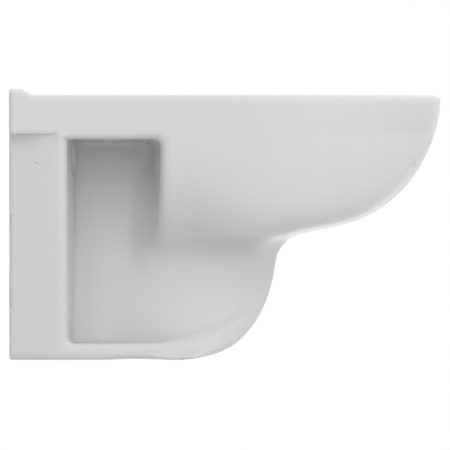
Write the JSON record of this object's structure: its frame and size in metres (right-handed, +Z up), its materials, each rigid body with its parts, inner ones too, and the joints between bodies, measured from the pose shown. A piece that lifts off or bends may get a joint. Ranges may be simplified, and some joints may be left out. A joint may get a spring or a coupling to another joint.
{
  "type": "wall hung toilet pan",
  "caption": "Wall-hung toilet pan in white glazed ceramic with a D-shaped flushing rim, open side pockets behind the bowl and a rounded foot, with its inlet, trap and outlet.",
  "frame": {"origin": "on the wall face, midway between the two wall-fixing holes", "axes": "+Z up, -Y away from the wall towards the nose, +X to the right as seen from the front"},
  "size_m": [0.356, 0.53, 0.3323],
  "materials": {
    "glaze": "white gloss glaze",
    "bare_ceramic": "fired ceramic with a thin glaze",
    "seal_rubber": "soft black rubber",
    "liner_plastic": "natural plastic",
    "cap_plastic": "white gloss plastic"
  },
  "bodies": {
    "pan": {"outer_shell": "glaze", "rim_casting": "glaze", "bowl": "glaze", "trapway": "glaze", "outlet_spigot": "bare_ceramic", "inlet_horn": "bare_ceramic", "inlet_seal": "seal_rubber", "fixing_sleeve_left": "liner_plastic", "fixing_sleeve_right": "liner_plastic"},
    "left_cap": {"fixing_cap_left": "cap_plastic"},
    "right_cap": {"fixing_cap_right": "cap_plastic"}
  },
  "joints": [
    {"name": "left_cap_pull", "type": "slide", "parent": "pan", "child": "left_cap", "axis": [0, -1, 0], "range_m": [0, 0.04]},
    {"name": "right_cap_pull", "type": "slide", "parent": "pan", "child": "right_cap", "axis": [0, -1, 0], "range_m": [0, 0.04]}
  ]
}
